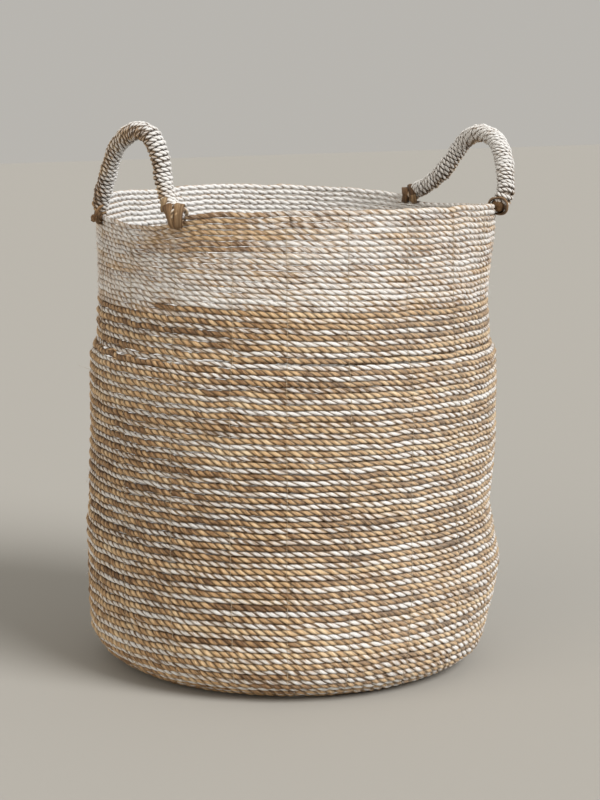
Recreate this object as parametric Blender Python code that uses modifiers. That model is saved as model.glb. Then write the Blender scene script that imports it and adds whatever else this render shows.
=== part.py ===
"""Round seagrass storage basket with two swinging rope handles.

Metres, +Z up. The origin is on the basket's axis at the underside of its base.
The handles stand near -X (left) and +X (right); both are turned a little towards -Y.
"""

from math import cos, pi, radians, sin, sqrt

import bmesh
import bpy
from mathutils import Matrix, Vector

# Wall, a single layer of coiled rope
WALL = 0.0064
ROW_GAP = 0.0003
BODY_RADIUS = 0.2090
SHOULDER_RADIUS = 0.2045
BAND_RADIUS = 0.2025
RIM_HEIGHT = 0.4750
RIM_ROW_HEIGHT = 0.0062
RIM_ARC_STEPS = 6
BAND_BOTTOM = 0.3790
SHOULDER_BOTTOM = 0.3300
CORNER_TOP = 0.0500
BASE_RADIUS = 0.1650
TURN_STEPS = 72

# Stitches that tie the rows together, one line every 18 degrees
STITCH_COUNT = 20
STITCH_RADIUS = 0.0005
STITCH_CLEARANCE = 0.0009
STITCH_TOP = 0.4520
STITCH_BOTTOM = 0.0260

# Handles: a rope core inside a wound sleeve, arched over a chord of the rim
HANDLE_RADIUS = 0.0095
CORE_RADIUS = 0.0061
SLEEVE_BORE_RADIUS = 0.0069
HANDLE_RISE = 0.0635
HANDLE_STEPS = 24
FOOT_STEPS = 5
SLEEVE_START = 0.0016
STRAIGHT_LEG = 0.0020
FLARE_TOP = 0.0012
FLARE_BOTTOM = 0.0007

# Lashings: a strap of seagrass over the rim under each foot of a handle
STRAP_THICKNESS = 0.0034
STRAP_WIDTH = 0.0220
STRAP_CLEARANCE = 0.0007
STRAP_TOP_CLEARANCE = 0.0004
STRAP_OUTER_DROP = 0.0210
STRAP_INNER_DROP = 0.0150
STRAP_BEVEL = 0.0009
FOOT_CLEARANCE = 0.0005
KNOT_RADIUS = 0.0034

# Hinge line height: foot ball just clear of the strap
HINGE_HEIGHT = RIM_HEIGHT + STRAP_TOP_CLEARANCE + STRAP_THICKNESS + FOOT_CLEARANCE + HANDLE_RADIUS
RIM_CIRCLE = BAND_RADIUS - 0.5 * WALL

# Name, direction round the basket, outward lean, half the angle between the feet,
# how far the top of the arch is pushed along the rim, and how much narrower it gets upward
HANDLES = (
    ("left_handle", radians(185.5), radians(2.0), radians(17.0), 0.0, 0.16),
    ("right_handle", radians(-11.2), radians(32.0), radians(26.4), -0.0180, 0.34),
)

NATURAL = (0.560, 0.400, 0.240)
NATURAL_DARK = (0.420, 0.280, 0.150)
WHITEWASH = (0.780, 0.760, 0.740)
STRIPED = (0.640, 0.540, 0.430)
THREAD = (0.800, 0.770, 0.720)

PARTS = "seagrass_basket"
CUTTERS = "cutters"


def clear_scene():
    for item in list(bpy.data.objects):
        bpy.data.objects.remove(item, do_unlink=True)


def make_collection(name):
    collection = bpy.data.collections.new(name)
    bpy.context.scene.collection.children.link(collection)
    return collection


def make_material(name, colour, roughness):
    material = bpy.data.materials.new(name)
    material.use_nodes = True
    shader = material.node_tree.nodes["Principled BSDF"]
    shader.inputs["Base Color"].default_value = (*colour, 1.0)
    shader.inputs["Roughness"].default_value = roughness
    shader.inputs["Metallic"].default_value = 0.0
    material.diffuse_color = (*colour, 1.0)
    return material


def finish(item, colour, roughness, smooth=True):
    item.data.materials.clear()
    item.data.materials.append(make_material(item.name, colour, roughness))
    for polygon in item.data.polygons:
        polygon.use_smooth = smooth
    return item


def to_mesh(item, name, collection):
    """Replace a curve or modified object by its evaluated mesh."""
    graph = bpy.context.evaluated_depsgraph_get()
    mesh = bpy.data.meshes.new_from_object(item.evaluated_get(graph))
    place = item.matrix_world.copy()
    bpy.data.objects.remove(item, do_unlink=True)
    mesh.name = name
    result = bpy.data.objects.new(name, mesh)
    result.matrix_world = place
    collection.objects.link(result)
    return result


def weld(item, distance=0.00001):
    work = bmesh.new()
    work.from_mesh(item.data)
    bmesh.ops.remove_doubles(work, verts=work.verts, dist=distance)
    bmesh.ops.recalc_face_normals(work, faces=work.faces)
    work.to_mesh(item.data)
    work.free()


def turn(name, profile, collection, closed=True):
    """Turn a profile in the XZ plane about +Z; it runs down the outer side first."""
    mesh = bpy.data.meshes.new(name)
    count = len(profile)
    edges = [(i, i + 1) for i in range(count - 1)]
    if closed:
        edges.append((count - 1, 0))
    mesh.from_pydata([(x, 0.0, z) for x, z in profile], edges, [])
    item = bpy.data.objects.new(name, mesh)
    collection.objects.link(item)
    screw = item.modifiers.new("turn", "SCREW")
    screw.axis = "Z"
    screw.angle = 2.0 * pi
    screw.steps = TURN_STEPS
    screw.render_steps = TURN_STEPS
    screw.use_merge_vertices = True
    screw.merge_threshold = 0.00002
    screw.use_smooth_shade = True
    return item


def wall_outline():
    """Outer wall line from the base edge up to the rim, as (radius, height)."""
    radius = BODY_RADIUS
    line = [(BASE_RADIUS, 0.0)]
    line.append((0.1760, 0.0010))
    line.append((0.1860, 0.0046))
    line.append((0.1935, 0.0105))
    line.append((0.1985, 0.0180))
    line.append((0.2022, 0.0330))
    line.append((0.2050, CORNER_TOP))
    line.append((0.2080, 0.0800))
    line.append((radius, 0.1100))
    line.append((radius, 0.3000))
    line.append((0.2083, SHOULDER_BOTTOM - 0.0060))
    line.append((0.2064, SHOULDER_BOTTOM))
    line.append((SHOULDER_RADIUS, SHOULDER_BOTTOM + 0.0060))
    line.append((SHOULDER_RADIUS - 0.0010, BAND_BOTTOM - 0.0120))
    line.append((BAND_RADIUS, BAND_BOTTOM))
    line.append((BAND_RADIUS, RIM_HEIGHT))
    return line


def outline_between(low, high):
    """The part of the wall line between two heights, ends included."""
    line = wall_outline()
    result = []
    for (r0, z0), (r1, z1) in zip(line, line[1:]):
        for height in (low, high):
            if z0 <= height < z1:
                share = (height - z0) / (z1 - z0)
                result.append((r0 + share * (r1 - r0), height))
        if low < z1 < high:
            result.append((r1, z1))
    return sorted(set(result), key=lambda point: point[1])


def inner_side(points):
    """The same line one wall thickness further in, square to the wall."""
    result = []
    for index, (radius, height) in enumerate(points):
        r0, z0 = points[max(index - 1, 0)]
        r1, z1 = points[min(index + 1, len(points) - 1)]
        length = sqrt((r1 - r0) ** 2 + (z1 - z0) ** 2)
        result.append((radius - WALL * (z1 - z0) / length, height + WALL * (r1 - r0) / length))
    return result


def build_base(collection):
    profile = [
        (0.0, WALL),
        (BASE_RADIUS - 0.0040, WALL),
        (BASE_RADIUS - 0.0004, 0.0),
        (0.0, 0.0),
    ]
    return finish(turn("base_coil", profile, collection, closed=False), NATURAL_DARK, 0.85)


def build_corner(collection):
    outer = outline_between(0.0, CORNER_TOP)
    inner = inner_side(outer)
    inner[0] = (BASE_RADIUS - 0.0036, WALL)
    inner[-1] = (outer[-1][0] - WALL, CORNER_TOP)
    profile = list(reversed(outer)) + inner
    return finish(turn("corner_course", profile, collection), STRIPED, 0.85)


def build_course(name, low, high, colour, collection):
    outer = outline_between(low + ROW_GAP, high)
    inner = [(radius - WALL, height) for radius, height in outer]
    profile = list(reversed(outer)) + inner
    return finish(turn(name, profile, collection), colour, 0.85)


def build_rim_row(collection):
    """The last turn of rope, rounded over the top."""
    low = RIM_HEIGHT - RIM_ROW_HEIGHT + ROW_GAP
    half = 0.5 * WALL
    middle = BAND_RADIUS - half
    shoulder = RIM_HEIGHT - half
    inner_side_up = [(middle - half, low), (middle - half, shoulder)]
    over_the_top = []
    for step in range(1, RIM_ARC_STEPS):
        angle = pi * (1.0 - step / RIM_ARC_STEPS)
        over_the_top.append((middle + half * cos(angle), shoulder + half * sin(angle)))
    outer_side_down = [(middle + half, shoulder), (middle + half, low)]
    profile = inner_side_up + over_the_top + outer_side_down
    return finish(turn("rim_row", profile, collection), WHITEWASH, 0.8)


def tube(name, points, radii, collection, sides=3):
    """Round tube along a line of points; radii scale it point by point."""
    curve = bpy.data.curves.new(name, "CURVE")
    curve.dimensions = "3D"
    curve.bevel_depth = max(radii)
    curve.bevel_resolution = sides
    curve.use_fill_caps = True
    spline = curve.splines.new("POLY")
    spline.points.add(len(points) - 1)
    for point, place, radius in zip(spline.points, points, radii):
        point.co = (*place, 1.0)
        point.radius = radius / curve.bevel_depth
    item = bpy.data.objects.new(name, curve)
    collection.objects.link(item)
    result = to_mesh(item, name, collection)
    weld(result)
    return result


def stitch_line():
    """Line just outside the wall that a stitch thread runs along."""
    offset = STITCH_CLEARANCE + STITCH_RADIUS
    points = outline_between(STITCH_BOTTOM, STITCH_TOP)
    result = []
    for index, (radius, height) in enumerate(points):
        r0, z0 = points[max(index - 1, 0)]
        r1, z1 = points[min(index + 1, len(points) - 1)]
        length = sqrt((r1 - r0) ** 2 + (z1 - z0) ** 2)
        result.append((radius + offset * (z1 - z0) / length, height - offset * (r1 - r0) / length))
    return result


def build_stitches(collection):
    line = stitch_line()
    for index in range(STITCH_COUNT):
        angle = 2.0 * pi * index / STITCH_COUNT
        points = [(radius * cos(angle), radius * sin(angle), height) for radius, height in line]
        name = "stitch_%02d" % (index + 1)
        item = tube(name, points, [STITCH_RADIUS] * len(points), collection, sides=1)
        finish(item, THREAD, 0.7)


def handle_frame(angle, lean, half_angle):
    """Frame at the hinge: X along the chord, Y outward, Z up the leaning handle."""
    outward = Vector((cos(angle), sin(angle), 0.0))
    along = Vector((-sin(angle), cos(angle), 0.0))
    up = Vector((0.0, 0.0, 1.0))
    leaned_up = up * cos(lean) + outward * sin(lean)
    leaned_out = outward * cos(lean) - up * sin(lean)
    origin = outward * (RIM_CIRCLE * cos(half_angle)) + up * HINGE_HEIGHT
    rows = (along, leaned_out, leaned_up)
    frame = Matrix([[row[axis] for row in rows] for axis in range(3)]).to_4x4()
    frame.translation = origin
    return frame


def arch_points(half_chord, push, narrowing):
    """Points of the arched centre line between the two feet, narrower towards its top."""
    points = []
    for step in range(2, HANDLE_STEPS - 1):
        angle = pi * (1.0 - step / HANDLE_STEPS)
        height = sin(angle)
        along = half_chord * cos(angle) * (1.0 - narrowing * height * height)
        points.append(Vector((along + push * height, 0.0, HANDLE_RISE * height)))
    return points


def build_core(name, frame, half_chord, arch, collection):
    foot = []
    for step in range(FOOT_STEPS + 1):
        angle = 0.5 * pi * step / FOOT_STEPS
        depth = HANDLE_RADIUS * cos(angle)
        foot.append((-depth, max(HANDLE_RADIUS * sin(angle), 0.0012)))
    foot.append((FLARE_BOTTOM, HANDLE_RADIUS * 0.985))
    foot.append((FLARE_TOP, CORE_RADIUS))
    foot.append((SLEEVE_START + STRAIGHT_LEG, CORE_RADIUS))
    points = [Vector((-half_chord, 0.0, height)) for height, _ in foot]
    radii = [radius for _, radius in foot]
    for point in arch:
        points.append(point)
        radii.append(CORE_RADIUS)
    for height, radius in reversed(foot):
        points.append(Vector((half_chord, 0.0, height)))
        radii.append(radius)
    item = tube(name, [frame @ point for point in points], radii, collection)
    return finish(item, NATURAL_DARK, 0.9)


def sleeve_line(half_chord, arch, drop):
    """Centre line of a sleeve, upright at both ends, starting a drop below its mouths."""
    step_up = Vector((0.0, 0.0, STRAIGHT_LEG))
    step_down = Vector((0.0, 0.0, drop))
    left = Vector((-half_chord, 0.0, SLEEVE_START))
    right = Vector((half_chord, 0.0, SLEEVE_START))
    return [left - step_down, left + step_up] + arch + [right + step_up, right - step_down]


def build_sleeve(name, frame, half_chord, arch, collection, cutters):
    outer_line = [frame @ point for point in sleeve_line(half_chord, arch, 0.0)]
    bore_line = [frame @ point for point in sleeve_line(half_chord, arch, HANDLE_RADIUS)]
    outer = tube(name, outer_line, [HANDLE_RADIUS] * len(outer_line), collection)
    bore = tube(name + "_bore", bore_line, [SLEEVE_BORE_RADIUS] * len(bore_line), cutters)
    bore.hide_render = True
    bore.display_type = "WIRE"
    cut = outer.modifiers.new("bore", "BOOLEAN")
    cut.operation = "DIFFERENCE"
    cut.solver = "EXACT"
    cut.object = bore
    return finish(outer, WHITEWASH, 0.8)


def build_strap(name, angle, collection):
    """Inverted U over the rim: a flat outline extruded along the rim, then rounded."""
    outer_wall = BAND_RADIUS + STRAP_CLEARANCE
    inner_wall = BAND_RADIUS - WALL - STRAP_CLEARANCE
    low_outer = RIM_HEIGHT - STRAP_OUTER_DROP
    low_inner = RIM_HEIGHT - STRAP_INNER_DROP
    under = RIM_HEIGHT + STRAP_TOP_CLEARANCE
    over = under + STRAP_THICKNESS
    outline = [
        (outer_wall, low_outer),
        (outer_wall + STRAP_THICKNESS, low_outer),
        (outer_wall + STRAP_THICKNESS, over),
        (inner_wall - STRAP_THICKNESS, over),
        (inner_wall - STRAP_THICKNESS, low_inner),
        (inner_wall, low_inner),
        (inner_wall, under),
        (outer_wall, under),
    ]
    curve = bpy.data.curves.new(name, "CURVE")
    curve.dimensions = "2D"
    curve.fill_mode = "BOTH"
    curve.extrude = 0.5 * STRAP_WIDTH
    spline = curve.splines.new("POLY")
    spline.points.add(len(outline) - 1)
    for point, (x, z) in zip(spline.points, outline):
        point.co = (x, z, 0.0, 1.0)
    spline.use_cyclic_u = True
    item = bpy.data.objects.new(name, curve)
    collection.objects.link(item)
    result = to_mesh(item, name, collection)
    weld(result)
    upright = Matrix.Rotation(0.5 * pi, 4, "X")
    result.matrix_world = Matrix.Rotation(angle, 4, "Z") @ upright
    bevel = result.modifiers.new("soft edges", "BEVEL")
    bevel.width = STRAP_BEVEL
    bevel.segments = 2
    return finish(result, NATURAL, 0.85)


def build_knot(name, angle, collection):
    """Small tied end on the outside of the wall below a strap."""
    bpy.ops.mesh.primitive_uv_sphere_add(segments=12, ring_count=8, radius=KNOT_RADIUS)
    item = bpy.context.object
    item.name = name
    item.data.name = name
    for owner in list(item.users_collection):
        owner.objects.unlink(item)
    collection.objects.link(item)
    distance = BAND_RADIUS + STRAP_CLEARANCE + KNOT_RADIUS
    height = RIM_HEIGHT - STRAP_OUTER_DROP - ROW_GAP - KNOT_RADIUS
    item.location = (distance * cos(angle), distance * sin(angle), height)
    return finish(item, NATURAL, 0.85)


def build_handle(name, angle, lean, half_angle, push, narrowing, collection, cutters):
    frame = handle_frame(angle, lean, half_angle)
    half_chord = RIM_CIRCLE * sin(half_angle)
    arch = arch_points(half_chord, push, narrowing)
    hinge = bpy.data.objects.new(name + "_hinge", None)
    hinge.matrix_world = frame
    collection.objects.link(hinge)
    core = build_core(name + "_core", frame, half_chord, arch, collection)
    sleeve = build_sleeve(name + "_wrap", frame, half_chord, arch, collection, cutters)
    for item in (core, sleeve):
        item.parent = hinge
        item.matrix_parent_inverse = frame.inverted()
    build_strap(name + "_lashing_a", angle - half_angle, collection)
    build_strap(name + "_lashing_b", angle + half_angle, collection)


def build():
    clear_scene()
    parts = make_collection(PARTS)
    cutters = make_collection(CUTTERS)
    build_base(parts)
    build_corner(parts)
    build_course("striped_wall", CORNER_TOP, SHOULDER_BOTTOM, STRIPED, parts)
    build_course("striped_shoulder", SHOULDER_BOTTOM, BAND_BOTTOM, STRIPED, parts)
    build_course("white_band", BAND_BOTTOM, RIM_HEIGHT - RIM_ROW_HEIGHT, WHITEWASH, parts)
    build_rim_row(parts)
    build_stitches(parts)
    for name, angle, lean, half_angle, push, narrowing in HANDLES:
        build_handle(name, angle, lean, half_angle, push, narrowing, parts, cutters)
    left_angle, left_half_angle = HANDLES[0][1], HANDLES[0][3]
    build_knot("left_handle_knot", left_angle - left_half_angle, parts)


build()
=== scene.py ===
"""Looks of the seagrass storage basket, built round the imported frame.

Metres, +Z up. Angles round the basket (phi) start at the side that faces the camera
and grow counter-clockwise seen from above, which is to the right as seen from the front.
Turns and rows are counted downward, from close to where the natural rope starts. The body
is a double coil, so each unit of row holds two ropes: natural and whitewashed.
"""

from collections import namedtuple

import bpy
import numpy as np
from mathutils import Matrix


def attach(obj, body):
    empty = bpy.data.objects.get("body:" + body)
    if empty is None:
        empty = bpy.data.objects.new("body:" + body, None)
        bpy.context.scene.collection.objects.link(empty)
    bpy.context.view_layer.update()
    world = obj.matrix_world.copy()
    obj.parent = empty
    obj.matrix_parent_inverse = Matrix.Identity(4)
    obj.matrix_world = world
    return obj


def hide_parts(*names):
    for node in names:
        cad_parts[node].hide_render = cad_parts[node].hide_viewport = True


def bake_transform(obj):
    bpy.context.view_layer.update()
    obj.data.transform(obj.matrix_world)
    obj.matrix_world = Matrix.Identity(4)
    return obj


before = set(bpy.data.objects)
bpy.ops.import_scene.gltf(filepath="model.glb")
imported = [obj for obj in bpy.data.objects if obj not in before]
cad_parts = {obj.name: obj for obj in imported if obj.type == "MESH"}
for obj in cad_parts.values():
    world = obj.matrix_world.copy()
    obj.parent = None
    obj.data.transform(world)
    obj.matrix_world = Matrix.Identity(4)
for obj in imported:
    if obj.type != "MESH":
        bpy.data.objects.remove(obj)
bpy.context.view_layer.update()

TURN = 2.0 * np.pi
UP = np.array((0.0, 0.0, 1.0))

# Camera: heading, distance out, shift to the right, height, tilt down, lens
CAMERA_HEADING = -33.5
CAMERA_OUT = 2.2317
CAMERA_RIGHT = 0.0081
CAMERA_HEIGHT = 0.6324
CAMERA_TILT = 9.259
CAMERA_LENS = 97.47
FRONT = np.radians(CAMERA_HEADING - 90.0)

# Outer radius and height of the wall, from under the base up to the rim
OUTLINE = (
    (0.1500, 0.0000),
    (0.1640, 0.0000),
    (0.1745, 0.0014),
    (0.1845, 0.0056),
    (0.1930, 0.0112),
    (0.1998, 0.0180),
    (0.2060, 0.0330),
    (0.2090, 0.0500),
    (0.2115, 0.0800),
    (0.2125, 0.1100),
    (0.2125, 0.3000),
    (0.2112, 0.3240),
    (0.2088, 0.3300),
    (0.2047, 0.3365),
    (0.2036, 0.3650),
    (0.2025, 0.3800),
    (0.2020, 0.5200),
)
CORNER_HEIGHT = 0.1100
OUTLINE_STEP = 0.0005
OUTLINE_SOFTEN = 13

# How far the left and right sides bulge or dip, by height
SIDE_BULGES = (
    (0.000, 0.0000, -0.0020),
    (0.017, 0.0020, -0.0006),
    (0.036, 0.0060, -0.0018),
    (0.045, 0.0055, -0.0020),
    (0.075, 0.0035, 0.0025),
    (0.107, 0.0030, 0.0060),
    (0.148, 0.0033, -0.0020),
    (0.165, 0.0008, -0.0060),
    (0.198, -0.0007, -0.0026),
    (0.250, -0.0020, 0.0010),
    (0.330, -0.0016, 0.0000),
    (0.340, -0.0015, 0.0000),
    (0.480, -0.0012, -0.0005),
)
SIDE_HEIGHTS, LEFT_SIDE, RIGHT_SIDE = zip(*SIDE_BULGES)
SIDE_ANGLE = 88.0
SIDE_SPREAD = np.radians(40.0)

# Height of the rim above or below its level, by angle in degrees
SAG_TABLE = (
    (-180, 0.0015), (-156, 0.0050), (-127, 0.0030), (-109, 0.0060), (-95, 0.0015), (-80, -0.0055),
    (-60, -0.0115), (-48, -0.0135), (-35, -0.0085), (-27, -0.0020), (-13, 0.0005), (12, 0.0035),
    (60, 0.0025), (86, -0.0005), (105, -0.0055), (128, -0.0095), (147, -0.0055), (157, -0.0015),
    (180, 0.0015),
)
SAG_SOFTEN = 11
SAG_FROM = 0.385
SAG_REACH = 0.093

# Rows lean sideways by these heights
TILT_HEIGHTS = (-0.030, 0.000, 0.020, 0.050, 0.170, 0.371, 0.478)
TILTS = (0.0, 0.0, 0.0040, 0.0066, 0.0021, -0.0036, 0.0)

# Unevenness of the wall, and how far the right handle pulls it out
ROW_WANDER = 0.0007
LUMP_SIZE = 0.0009
RIPPLE_SIZE = 0.0005
HANDLE_PULL = 0.0070
HANDLE_PULL_ANGLE = 86.0

# Rows of rope
BROWN_ROW_HEIGHT = 0.3824
PAIR_PITCH = 0.0107
PITCH_GROWTH = 0.000025
BAND_PAIR_PITCH = 0.01098
BROWN_START = -0.116
WHITE_BODY_START = -0.55
LAST_ROW = 35.0
RIM_START_WHITE = -9.092
RIM_START_SECOND = -8.622
BROWN_RADIUS = 0.00318
WHITE_RADIUS = 0.00278
BAND_RADIUS = 0.00288
ROPE_INSET = 0.0033
WHITE_INSET = 0.0037
BROWN_LAY = 0.0186
WHITE_LAY = 0.0218
BAND_LAY = 0.0200
SECTIONS_PER_LAY = 8

# How finely a coil is measured before its sections are placed
MEASURE_PER_TURN = 96
MEASURE_INSET = 0.0030

# What changes along a rope: turn counts and values
WHITE_LAYS = ((-9.2, -0.5, 0.5, 36.0), (BAND_LAY, BAND_LAY, WHITE_LAY, WHITE_LAY))
WHITE_INSETS = ((-9.2, -0.6, 0.4, 36.0), (ROPE_INSET, ROPE_INSET, WHITE_INSET, WHITE_INSET))
WHITE_SIZES = (
    (-9.2, -0.6, 0.2, 10.0, 24.0, 36.0),
    (BAND_RADIUS, BAND_RADIUS, WHITE_RADIUS, WHITE_RADIUS, 0.0030, 0.0034),
)
BROWN_SIZES = ((-0.2, 10.0, 24.0, 36.0), (BROWN_RADIUS, BROWN_RADIUS, 0.0031, 0.0034))

# Pieces of the body: name, first and last turn, nodes they stand for
BODY_PIECES = (
    ("upper", -1.0, 11.3, ("striped_shoulder", "striped_wall")),
    ("middle", 11.3, 23.0, ("striped_wall",)),
    ("lower", 23.0, 40.0, ("striped_wall", "corner_course")),
)

# Pieces of the band: name, first turn, last turn of the first and of the second rope, node
BAND_PIECES = (
    ("rim_rope", -10.0, -8.0, -8.0, "rim_row"),
    ("band_rope_upper", -8.0, -4.3, -4.3, "white_band"),
    ("band_rope_lower", -4.3, WHITE_BODY_START, 0.0, "white_band"),
)

# Spiral of rope under the basket
BASE_OUTER = 0.1700
BASE_INNER = 0.0035
BASE_PITCH = 0.0064
BASE_RADIUS = 0.0033
BASE_SQUASH = 0.98
BASE_STEPS_PER_TURN = 120

# Cross-section of a two-ply rope
RING_ANGLES = np.radians((0, 36, 68, 90, 112, 144, 180, 216, 248, 270, 292, 324))
RING_SHAPE = np.array((1.0, 0.96, 0.75, 0.44, 0.75, 0.96, 1.0, 0.96, 0.75, 0.44, 0.75, 0.96))
# How deep in the groove each point lies; this sets painted shade in the grooves and thinner paint
# there
RING_GROOVE = np.array((0.0, 0.10, 0.52, 1.0, 0.52, 0.10, 0.0, 0.10, 0.52, 1.0, 0.52, 0.10))
CONTACT_SHAPE = 0.90
PLY_BULGE_LENGTH = 0.011
PLY_TONE_LENGTH = 0.009
FIBRE_STRETCH = 85.0
FIBRE_ROUND = 3.2
SEED_STEP = 0.37

# Handles: hinge line on the rim, core, and the cord wound round it
HINGE_HEIGHT = 0.4888
RIM_CIRCLE = 0.1993
CORE_RADIUS = 0.0056
CORD_RADIUS = 0.00222
CORD_REACH = 0.0072
CORD_PITCH = 0.0047
CORD_LAY = 0.0104
CORD_JITTER = 0.50
ARCH_POINTS = 260

# Centre lines of the handles: along the rim, outward, up from the hinge
LEFT_LINE = (
    (-0.075, -0.004, -0.024), (-0.069, -0.001, -0.010), (-0.060, 0.000, 0.006), (-0.050, 0.001, 0.024),
    (-0.037, 0.002, 0.044), (-0.025, 0.002, 0.054), (-0.011, 0.002, 0.061), (0.004, 0.002, 0.064),
    (0.019, 0.002, 0.061), (0.029, 0.002, 0.054), (0.038, 0.001, 0.037), (0.042, 0.001, 0.018),
    (0.049, 0.000, -0.001), (0.058, 0.001, -0.010), (0.073, 0.002, -0.015),
)
RIGHT_LINE = (
    (0.094, -0.003, -0.019), (0.080, 0.003, -0.010), (0.068, 0.005, -0.006), (0.055, 0.011, 0.003),
    (0.043, 0.017, 0.014), (0.028, 0.029, 0.040), (0.014, 0.033, 0.050), (-0.010, 0.034, 0.054),
    (-0.034, 0.033, 0.051), (-0.055, 0.031, 0.043), (-0.077, 0.026, 0.024), (-0.092, 0.020, 0.004),
    (-0.097, 0.016, -0.006), (-0.092, 0.010, -0.019),
)
LEFT_ENDS = ((0.018, 0.30), (0.006, 0.65))
RIGHT_ENDS = ((0.008, 0.55), (0.008, 0.55))
LEFT_PAINT_SIDE = (0.760, -0.460, 0.460)
RIGHT_PAINT_SIDE = (-0.540, -0.182, 0.820)

# Angle round the rim, lean and half the angle between the feet, in degrees; how each end
# narrows, as length and least size; the side the paint came from
Handle = namedtuple("Handle", "side angle lean half line ends paint_side seed")
HANDLES = (
    Handle("left", 185.5, 2.0, 17.0, LEFT_LINE, LEFT_ENDS, LEFT_PAINT_SIDE, 500),
    Handle("right", -11.2, 32.0, 26.4, RIGHT_LINE, RIGHT_ENDS, RIGHT_PAINT_SIDE, 600),
)

# Bands at each foot: angle in degrees, radii, heights, widths at the bottom and top, slant
Band = namedtuple("Band", "angle inner outer low high lower_width upper_width slant")
BAND_THICKNESS = 0.0024
FOOT_BANDS = (
    ("left_handle_lashing_b", (
        Band(-38.0, 0.1895, 0.2060, 0.4780, 0.4905, 0.0050, 0.0080, 0.25),
        Band(-35.0, 0.1915, 0.2096, 0.4640, 0.4840, 0.0080, 0.0120, -0.25),
        Band(-31.9, 0.1972, 0.2098, 0.4640, 0.4838, 0.0100, 0.0122, 0.10),
    )),
    ("left_handle_lashing_a", (
        Band(-73.6, 0.1960, 0.2050, 0.4592, 0.4715, 0.0045, 0.0060, -0.20),
        Band(-71.6, 0.1962, 0.2045, 0.4590, 0.4690, 0.0035, 0.0050, 0.20),
    )),
    ("right_handle_lashing_a", (
        Band(84.6, 0.2030, 0.2195, 0.4655, 0.4795, 0.0080, 0.0105, -0.15),
        Band(87.4, 0.2035, 0.2185, 0.4650, 0.4780, 0.0080, 0.0105, 0.15),
        Band(86.0, 0.2062, 0.2162, 0.4682, 0.4760, 0.0110, 0.0130, 0.05),
    )),
    ("right_handle_lashing_b", (
        Band(138.6, 0.1905, 0.2085, 0.4650, 0.4815, 0.0080, 0.0105, 0.15),
        Band(141.5, 0.1915, 0.2070, 0.4650, 0.4780, 0.0075, 0.0100, -0.15),
    )),
)

# Small knot outside the wall, and the strand that comes down to it from the rim
KNOT_ANGLE = -69.6
KNOT_DISTANCE = 0.2105
KNOT_HEIGHT = 0.4645
KNOT_SIZE = 0.0026
KNOT_CORD_RADIUS = 0.0013
STRAND_RADIUS = 0.0014
STRAND_LINE = (
    (0.0020, 0.0125, -0.0090), (0.0060, 0.0090, -0.0030), (0.0060, 0.0040, -0.0010),
    (0.0020, 0.0005, 0.0000), (0.0000, 0.0000, 0.0000), (-0.0030, -0.0030, 0.0010),
)

# Stitch lines, which stand a few degrees off even spacing near the front
STITCH_COUNT = 20
STITCH_RADIUS = 0.00030
STITCH_FROM = (-110.0, -57.0, -21.0, -3.0, 15.0, 180.0)
STITCH_SHIFT = (0.0, 5.0, 4.5, 1.4, 0.0, 0.0)
STITCH_TOP = -8.4
STITCH_END = 33.0

# Loose fibres, and the rows they stand on
HAIR_COUNT = 900
HAIR_RADIUS = 0.00013
HAIR_POINTS = 7
HAIR_TOP = -7.5
HAIR_END = 33.0

# Share of paint on the white rope, and of pale painted light on the right side of the natural rope
PAINT_COVER = 0.66
RIGHT_LIGHT_SHARE = 0.42

# Colours, dark to light
BROWN_STOPS = (
    (0.05, (0.075, 0.038, 0.018)),
    (0.28, (0.240, 0.132, 0.060)),
    (0.50, (0.545, 0.342, 0.172)),
    (0.70, (0.730, 0.518, 0.294)),
    (0.93, (0.850, 0.705, 0.490)),
)
LASHING_STOPS = (
    (0.10, (0.070, 0.034, 0.014)),
    (0.40, (0.210, 0.118, 0.054)),
    (0.62, (0.350, 0.220, 0.112)),
    (0.90, (0.540, 0.390, 0.230)),
)
PAINT_STOPS = (
    (0.28, (0.520, 0.505, 0.490)),
    (0.46, (0.750, 0.745, 0.738)),
    (0.68, (0.895, 0.895, 0.895)),
)
THREAD_STOPS = (
    (0.30, (0.360, 0.270, 0.170)),
    (0.70, (0.600, 0.510, 0.390)),
)
# Painted shade for the grooves of the rope and where ropes touch
GROOVE_SHADE_COLOUR = (0.026, 0.013, 0.007)
# Pale straw: painted light on the right side of the natural rope, also laid over the loose natural
# fibres
PALE_STRAW_COLOUR = (0.800, 0.740, 0.630)
STAIN_COLOUR = (0.46, 0.40, 0.34)
FLOOR_COLOUR = (0.400, 0.388, 0.362, 1.0)
STUDIO_COLOUR = (1.0, 0.965, 0.90, 1.0)
STUDIO_STRENGTH = 0.48


def smoothstep(value):
    value = np.clip(value, 0.0, 1.0)
    return value * value * (3.0 - 2.0 * value)


def unit(vectors):
    return vectors / np.linalg.norm(vectors, axis=-1, keepdims=True)


def distance_along(points):
    """Distance along a line of points, from its first point."""
    steps = np.linalg.norm(np.diff(points, axis=0), axis=1)
    return np.concatenate(([0.0], np.cumsum(steps)))


def read_along(values, distance, places):
    """Vectors given by distance along a line, read off at other distances."""
    return np.stack([np.interp(places, distance, values[:, axis]) for axis in range(3)], axis=-1)


def line_noise(seed, position, cell):
    """Smooth seeded noise along a line, about -1 to 1, one knot per cell."""
    random = np.random.default_rng(seed)
    low = position.min()
    count = int((position.max() - low) / cell) + 6
    knots = random.uniform(-1.0, 1.0, count)
    place = (position - low) / cell + 1.0
    index = np.floor(place).astype(int)
    t = place - index
    a, b, c, d = (knots[index + shift] for shift in (-1, 0, 1, 2))
    cubic = 3.0 * (b - c) + d - a
    square = 2.0 * a - 5.0 * b + 4.0 * c - d
    return b + 0.5 * t * (c - a + t * (square + t * cubic))


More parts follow.
